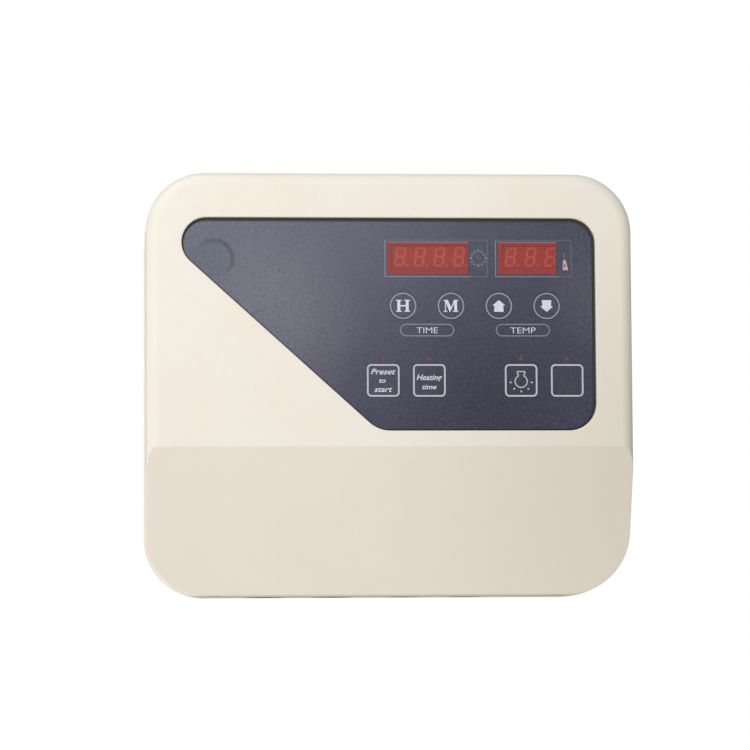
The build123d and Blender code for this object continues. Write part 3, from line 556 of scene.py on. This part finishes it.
def stand(name, mesh, front, thick, paint, body):
    """Stands a drawing on a face whose y is front, in millimetres, and lets it ride on a body."""
    mesh.transform(Matrix.Scale(MM, 4) @ Matrix.Translation((0, front - thick / 2, 0)) @ FACING)
    mesh.materials.clear()
    mesh.materials.append(paint.material)
    piece = bpy.data.objects.new(name, mesh)
    bpy.context.scene.collection.objects.link(piece)
    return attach(piece, body)


def ink(name, outlines, paint, body="case", on="overlay_film", thick=INK_THICK):
    """Printed outlines on the front of a CAD node."""
    return stand(name, solid(name, outlines, thick), front_of(on), thick, paint, body)


def words(name, lines, body, on, weight, lean=0.0):
    """Lines of generic text, each with its centre, width and letter height."""
    meshes = []
    for text, centre, width, height in lines:
        curve = bpy.data.curves.new(name, "FONT")
        curve.body = text
        curve.extrude = INK_THICK / 2
        curve.shear = lean
        curve.offset = weight
        mesh = mesh_of(name, curve)
        xs = [vertex.co.x for vertex in mesh.vertices]
        middle = (min(xs) + max(xs)) / 2
        mesh.transform(
            Matrix.Translation((centre[0], centre[1] - height / 2, 0))
            @ Matrix.Diagonal((width / (max(xs) - min(xs)), height / CAPITAL_SHARE, 1, 1))
            @ Matrix.Translation((-middle, 0, 0))
        )
        meshes.append(mesh)
    joined = bmesh.new()
    for mesh in meshes:
        joined.from_mesh(mesh)
    mesh = bpy.data.meshes.new(name)
    joined.to_mesh(mesh)
    joined.free()
    return stand(name, mesh, front_of(on), INK_THICK, ink_paint, body)


# ---------------------------------------------------------------- frames around the windows
FINE_LINE = 0.42
FRAME_LEFT_ROOM = 1.4        # from a window to the outside of its frame
FRAME_RIGHT_ROOM = {"time": 10.0, "temp": 7.9}   # leaves space for the clock and the thermometer
FRAME_BOTTOM_ROOM = 1.25
FRAME_TOP_ROOM = 1.6
STRONG_LINE_PAST = 1.0       # how far past the window the frame's lower line stays strong
EDGE_HIGHLIGHT = (0.1, 0.45)      # lower and upper side of the painted highlight along a window's top edge
BORDER_INSET = 0.05
DISPLAY_INSET = 0.15         # how far the window's clear part starts inside the display
DISPLAY_END = 0.6            # and how far it ends before the display or the window does

for label, right_room in FRAME_RIGHT_ROOM.items():
    window_low, window_high = box_mm(f"{label}_window")
    left = window_low.x - FRAME_LEFT_ROOM
    right = window_high.x + right_room
    bottom = window_low.z - FRAME_BOTTOM_ROOM
    top = window_high.z + FRAME_TOP_ROOM
    strong_end = window_high.x + STRONG_LINE_PAST
    strong = [
        bar(left, bottom, left + FINE_LINE, top),
        bar(left + FINE_LINE, bottom, strong_end, bottom + FINE_LINE),
    ]
    weak = [
        bar(strong_end, bottom, right - FINE_LINE, bottom + FINE_LINE),
        bar(left + FINE_LINE, top - FINE_LINE, right - FINE_LINE, top),
        bar(right - FINE_LINE, bottom, right, top),
    ]
    ink(f"{label}_frame_line", strong, line_paint)
    ink(f"{label}_frame_fine_line", weak, grey_paint)
    # painted highlight along the window's top edge
    edge = bar(window_low.x, window_high.z + EDGE_HIGHLIGHT[0], window_high.x, window_high.z + EDGE_HIGHLIGHT[1])
    ink(f"{label}_window_edge_highlight", [edge], edge_highlight_paint)
    display_low, display_high = box_mm(f"{label}_display")
    clear = bar(
        display_low.x + DISPLAY_INSET, display_low.z + DISPLAY_INSET,
        min(display_high.x, window_high.x) - DISPLAY_END, min(display_high.z, window_high.z) - DISPLAY_END,
    )
    outside = bar(
        window_low.x + BORDER_INSET, window_low.z + BORDER_INSET,
        window_high.x - BORDER_INSET, window_high.z - BORDER_INSET,
    )
    ink(f"{label}_window_border", [outside, clear], border_paint)

# ---------------------------------------------------------------- clock and thermometer beside the windows
time_low, time_high = box_mm("time_window")
temp_low, temp_high = box_mm("temp_window")
CLOCK_ROOM = 5.2             # from the window to the clock's middle
CLOCK_RISE = 0.3             # above the window's middle
CLOCK_R = 3.8
FACE_R = 3.3
FACE_LINE = 0.3
HOUR_DOT_R = 0.42
QUARTER_DOT_R = 0.6
clock = (time_high.x + CLOCK_ROOM, (time_low.z + time_high.z) / 2 + CLOCK_RISE)
clock_hands = stroke([(-0.9, 1.7), (0.0, 0.0), (1.5, -0.2)], 0.45)
ink("clock_symbol", moved(ring(FACE_R, FACE_LINE) + clock_hands, clock), grey_paint)
clock_dots = []
for hour in range(12):
    angle = math.radians(30 * hour)
    dot_centre = (CLOCK_R * math.cos(angle), CLOCK_R * math.sin(angle))
    clock_dots.append(circle(HOUR_DOT_R if hour % 3 else QUARTER_DOT_R, dot_centre, 16))
ink("clock_dots", moved(clock_dots, clock), line_paint)

THERMOMETER_ROOM = 4.5       # from the window to the thermometer's middle
THERMOMETER_RISE = 1.2       # above the window's lower side
thermometer = (temp_high.x + THERMOMETER_ROOM, temp_low.z + THERMOMETER_RISE)
bulb = [(-1.0, 6.3), (0.3, 6.3), (1.6, 1.2), (-1.3, 1.2)]
stem = bar(-0.9, 6.3, -0.25, 10.4)
liquid = bar(-0.6, 2.6, 0.1, 4.2)
ink("thermometer_symbol", moved([bulb, liquid], thermometer), pink_paint)
ink("thermometer_liquid", moved([liquid], thermometer), border_paint)
ink("thermometer_stem", moved([stem], thermometer), grey_paint)

# ---------------------------------------------------------------- round keys
RING_R = 6.45
RING_LINE = 0.62
CAPITAL = 6.1                # height of the letters H and M


def letter_h():
    """Slab-serif H, centred."""
    half = CAPITAL / 2
    stem = 0.75
    out = 2.15
    serif = 0.55
    side = 1.45
    outline = []
    for sx in (1, -1):
        column = [
            (out - stem, 0.35), (out - stem, half - serif), (out - side, half - serif), (out - side, half),
            (out + side, half), (out + side, half - serif), (out + stem, half - serif),
        ]
        column = column + [(x, -z) for x, z in column[::-1]]
        outline += [(sx * x, z * sx) for x, z in column]
    return [outline]


def letter_m():
    """Slab-serif M, centred: a thin left stem, a heavy diagonal and a heavy right stem."""
    half = CAPITAL / 2
    serif = 0.5
    return [[
        (-3.75, half), (-1.6, half), (0.1, -0.9), (1.5, half), (3.75, half), (3.75, half - serif),
        (3.1, half - serif), (3.1, -half + serif), (3.75, -half + serif), (3.75, -half), (1.0, -half),
        (1.0, -half + serif), (1.7, -half + serif), (1.7, half - 1.6), (-0.35, -half), (-0.75, -half),
        (-2.6, half - 1.5), (-2.6, -half + serif), (-1.9, -half + serif), (-1.9, -half), (-3.75, -half),
        (-3.75, -half + serif), (-3.05, -half + serif), (-3.05, half - serif), (-3.75, half - serif),
    ]]


def arrow(up):
    """Short broad arrow."""
    right = [(0.0, 3.0), (3.3, 0.25), (2.2, 0.1), (2.45, -3.0)]
    shape = right + [(-x, z) for x, z in right[:0:-1]]
    return [[(x, z * up) for x, z in shape]]


ROUND_SYMBOLS = {"hours": letter_h(), "minutes": letter_m(), "temp_up": arrow(1), "temp_down": arrow(-1)}
for key, symbol in ROUND_SYMBOLS.items():
    node = f"key_{key}"
    centre = centre_of(node)
    ink(f"{key}_ring", moved(ring(RING_R, RING_LINE), centre), ring_paint, f"{key}_key", node)
    ink(f"{key}_symbol", moved(symbol, centre), ink_paint, f"{key}_key", node)

# ---------------------------------------------------------------- captions under the round keys
PILL = (27.2, 5.9)           # width and height of a caption's outline
PILL_LINE = 0.5
PILL_DROP = 12.4             # from the middle of the keys down to its middle
CAPTION_HEIGHT = 3.2
CAPTION_WEIGHT = -0.008      # thins the letters a little
for caption, left_key, right_key, width in (
    ("TIME", "key_hours", "key_minutes", 10.8),
    ("TEMP", "key_temp_up", "key_temp_down", 12.9),
):
    left_centre = centre_of(left_key)
    right_centre = centre_of(right_key)
    pill = ((left_centre[0] + right_centre[0]) / 2, left_centre[1] - PILL_DROP)
    name = caption.lower()
    ink(f"{name}_caption_outline", box_line(*PILL, PILL[1] / 2, PILL_LINE, pill), line_paint)
    words(f"{name}_caption", [(caption, pill, width, CAPTION_HEIGHT)], "case", "overlay_film", CAPTION_WEIGHT)

# ---------------------------------------------------------------- square keys
SQUARE_LINE = 0.88
SQUARE_LINE_R = 1.9          # corner radius along the middle of the line
SQUARE_LINE_ROOM = 0.05      # from the outline to the key's edge
LAMP_LINE = 0.56
RAY_LINE = 0.7
RAY_STEP = 42                # degrees from ray to ray
RAY_MIDDLE = (5.3, 5.0)      # half-axes of the oval that the rays' middles lie on
RAY_ENDS = (0.92, 1.12)      # shares of it where a ray starts and ends
WORDS_LEAN = 0.3
WORDS_WEIGHT = 0.012         # fattens the letters a little


def lamp():
    """Lamp symbol: cap, bulb and five rays."""
    neck = 1.45
    bulb_r = 3.1
    bulb_z = -0.5
    start = math.asin(neck / bulb_r)
    outline = [(neck, 2.9), (1.9, 3.4), (1.9, 4.5), (-1.9, 4.5), (-1.9, 3.4), (-neck, 2.9)]
    for step in range(25):
        angle = start + (math.tau - 2 * start) * step / 24
        outline.append((-bulb_r * math.sin(angle), bulb_z + bulb_r * math.cos(angle)))
    rays = []
    for ray in range(-2, 3):
        angle = math.radians(RAY_STEP * ray)
        x = RAY_MIDDLE[0] * math.sin(angle)
        z = -RAY_MIDDLE[1] * math.cos(angle)
        rays += stroke([(x * reach, bulb_z + z * reach) for reach in RAY_ENDS], RAY_LINE)
    return stroke(outline, LAMP_LINE, closed=True) + rays


def power_mark():
    """Power symbol: an open ring and a stroke."""
    radius = 3.3
    line = 0.8
    angles = [math.radians(40 + 280 * step / 24) for step in range(25)]
    arc = [(radius * math.sin(angle), radius * math.cos(angle)) for angle in angles]
    return moved(stroke(arc, line) + stroke([(0.0, 1.0), (0.0, 4.4)], line), (0.0, -0.4))


for key in SQUARE_KEYS:
    node = f"key_{key}"
    low, high = box_mm(node)
    side = high.x - low.x - SQUARE_LINE - 2 * SQUARE_LINE_ROOM
    outline = box_line(side, side, SQUARE_LINE_R, SQUARE_LINE, centre_of(node))
    ink(f"{key}_outline", outline, key_line_paint, f"{key}_key", node)
centre_x, centre_z = centre_of("key_preset")
words("preset_words", [
    ("Preset", (centre_x, centre_z + 4.6), 12.6, 2.9),
    ("to", (centre_x - 0.4, centre_z + 0.1), 3.4, 2.6),
    ("start", (centre_x, centre_z - 4.4), 9.2, 2.9),
], "preset_key", "key_preset", WORDS_WEIGHT, WORDS_LEAN)
centre_x, centre_z = centre_of("key_heating_time")
words("heating_time_words", [
    ("Heating", (centre_x, centre_z + 1.7), 13.0, 3.0),
    ("time", (centre_x, centre_z - 3.2), 7.3, 2.6),
], "heating_time_key", "key_heating_time", WORDS_WEIGHT, WORDS_LEAN)
ink("light_symbol", moved(lamp(), centre_of("key_light")), key_line_paint, "light_key", "key_light")
ink("power_symbol", moved(power_mark(), centre_of("key_power")), faint_paint, "power_key", "key_power")

# ---------------------------------------------------------------- digits
DIGIT = (5.4, 10.16)         # width and height
SEGMENT = 1.15               # width of a segment
SEGMENT_GAP = 0.12           # from a corner of the digit to the tip of a segment
LEAN = math.tan(math.radians(8))
POINT_R = 0.65
POINT_PLACE = (3.6, -4.5)    # from the middle of its digit
SEGMENT_THICK = 0.05


def segment(start, end):
    """A six-sided bar between two corners of a digit, leaning with it."""
    along = (Vector(end) - Vector(start)).normalized()
    across = Vector((-along.y, along.x)) * SEGMENT / 2
    first = Vector(start) + along * SEGMENT_GAP
    last = Vector(end) - along * SEGMENT_GAP
    slant = along * SEGMENT / 2
    shape = [
        first, first + slant + across, last - slant + across,
        last, last - slant - across, first + slant - across,
    ]
    return [(corner.x + corner.y * LEAN, corner.y) for corner in shape]


def digit():
    """The seven segments of one digit, centred."""
    x = (DIGIT[0] - SEGMENT) / 2
    z = (DIGIT[1] - SEGMENT) / 2
    bars = [((-x, level), (x, level)) for level in (-z, 0.0, z)]
    bars += [((side, low), (side, low + z)) for side in (-x, x) for low in (-z, 0.0)]
    return [segment(start, end) for start, end in bars]


for label, count, pitch in (("time", 4, 10.07), ("temp", 3, 10.2)):
    node = f"{label}_display"
    centre_x, centre_z = centre_of(node)
    for index in range(count):
        x = centre_x + (index - (count - 1) / 2) * pitch
        point = circle(POINT_R, POINT_PLACE, 20)
        ink(
            f"{label}_digit_{index + 1}", moved(digit() + [point], (x, centre_z)),
            segment_paint, "case", node, SEGMENT_THICK,
        )

# ---------------------------------------------------------------- floor, light and camera
FLOOR_Z = -1.55
FLOOR_R = 30.0
FLOOR_GLOW = 0.27            # so that the floor is as pale as the surroundings
LIGHT_AIM = Vector((0.0, -0.04, 0.0))
CAMERA_PLACE = Vector((-0.1277, -1.7896, -0.1391))


def stage_floor():
    """A wide pale floor, as far below as it is for a controller on a wall."""
    shape = bmesh.new()
    bmesh.ops.create_circle(shape, cap_ends=True, segments=96, radius=FLOOR_R)
    mesh = bpy.data.meshes.new("Floor")
    shape.to_mesh(mesh)
    shape.free()
    floor = bpy.data.objects.new("Floor", mesh)
    floor.location = (0, 0, FLOOR_Z)
    bpy.context.scene.collection.objects.link(floor)
    finish = Finish("PaleFloor", srgb(242, 238, 228), 0.8)
    finish.mottle(0.3, srgb(236, 232, 221), 0.5)
    finish.set("Emission Color", srgb(255, 252, 242))
    finish.set("Emission Strength", FLOOR_GLOW)
    mesh.materials.append(finish.material)


def area_light(name, watts, side, position):
    """A square soft light box that looks at the controller."""
    light = bpy.data.lights.new(name, "AREA")
    light.shape = "SQUARE"
    light.energy = watts
    light.size = side
    light_box = bpy.data.objects.new(name, light)
    light_box.location = position
    light_box.rotation_euler = (LIGHT_AIM - Vector(position)).to_track_quat("-Z", "Y").to_euler()
    bpy.context.scene.collection.objects.link(light_box)


def white_world(seen, ambient):
    """An even white surrounding, brighter where the camera sees it than as a light."""
    world = bpy.data.worlds.new("Surroundings")
    world.use_nodes = True
    bpy.context.scene.world = world
    tree = world.node_tree
    background = tree.nodes["Background"]
    background.inputs["Color"].default_value = (1.0, 1.0, 1.0, 1.0)
    path = tree.nodes.new("ShaderNodeLightPath")
    spread = tree.nodes.new("ShaderNodeMapRange")
    spread.inputs["To Min"].default_value = ambient
    spread.inputs["To Max"].default_value = seen
    tree.links.new(path.outputs["Is Camera Ray"], spread.inputs["Value"])
    tree.links.new(spread.outputs["Result"], background.inputs["Strength"])


def camera():
    """A long lens, a little left of the middle and below it, looking slightly up."""
    data = bpy.data.cameras.new("Camera")
    data.sensor_width = 36.0
    data.lens = 163.2
    yaw = math.radians(-3.99)
    pitch = math.radians(4.74)
    roll = math.radians(-0.32)
    level = Vector((math.cos(yaw), math.sin(yaw), 0.0))
    forward = Vector((-math.sin(yaw) * math.cos(pitch), math.cos(yaw) * math.cos(pitch), math.sin(pitch)))
    upright = level.cross(forward)
    right = math.cos(roll) * level + math.sin(roll) * upright
    up = -math.sin(roll) * level + math.cos(roll) * upright
    axes = Matrix((right, up, -forward)).transposed()
    seen = bpy.data.objects.new("Camera", data)
    seen.matrix_world = Matrix.Translation(CAMERA_PLACE) @ axes.to_4x4()
    bpy.context.scene.collection.objects.link(seen)
    bpy.context.scene.camera = seen


stage_floor()
white_world(seen=1.0, ambient=0.356)
area_light("SoftBox", 13.3, 0.93, (-0.27, -2.067, 0.7))
area_light("SideLight", 1.85, 0.5, (-0.55, -0.85, 0.05))
area_light("RimLight", 4.0, 0.5, (-0.8, 0.25, -0.7))
area_light("TopLight", 5.6, 0.8, (-0.5, -0.5, 1.2))
camera()
bpy.context.scene.view_settings.view_transform = "Standard"
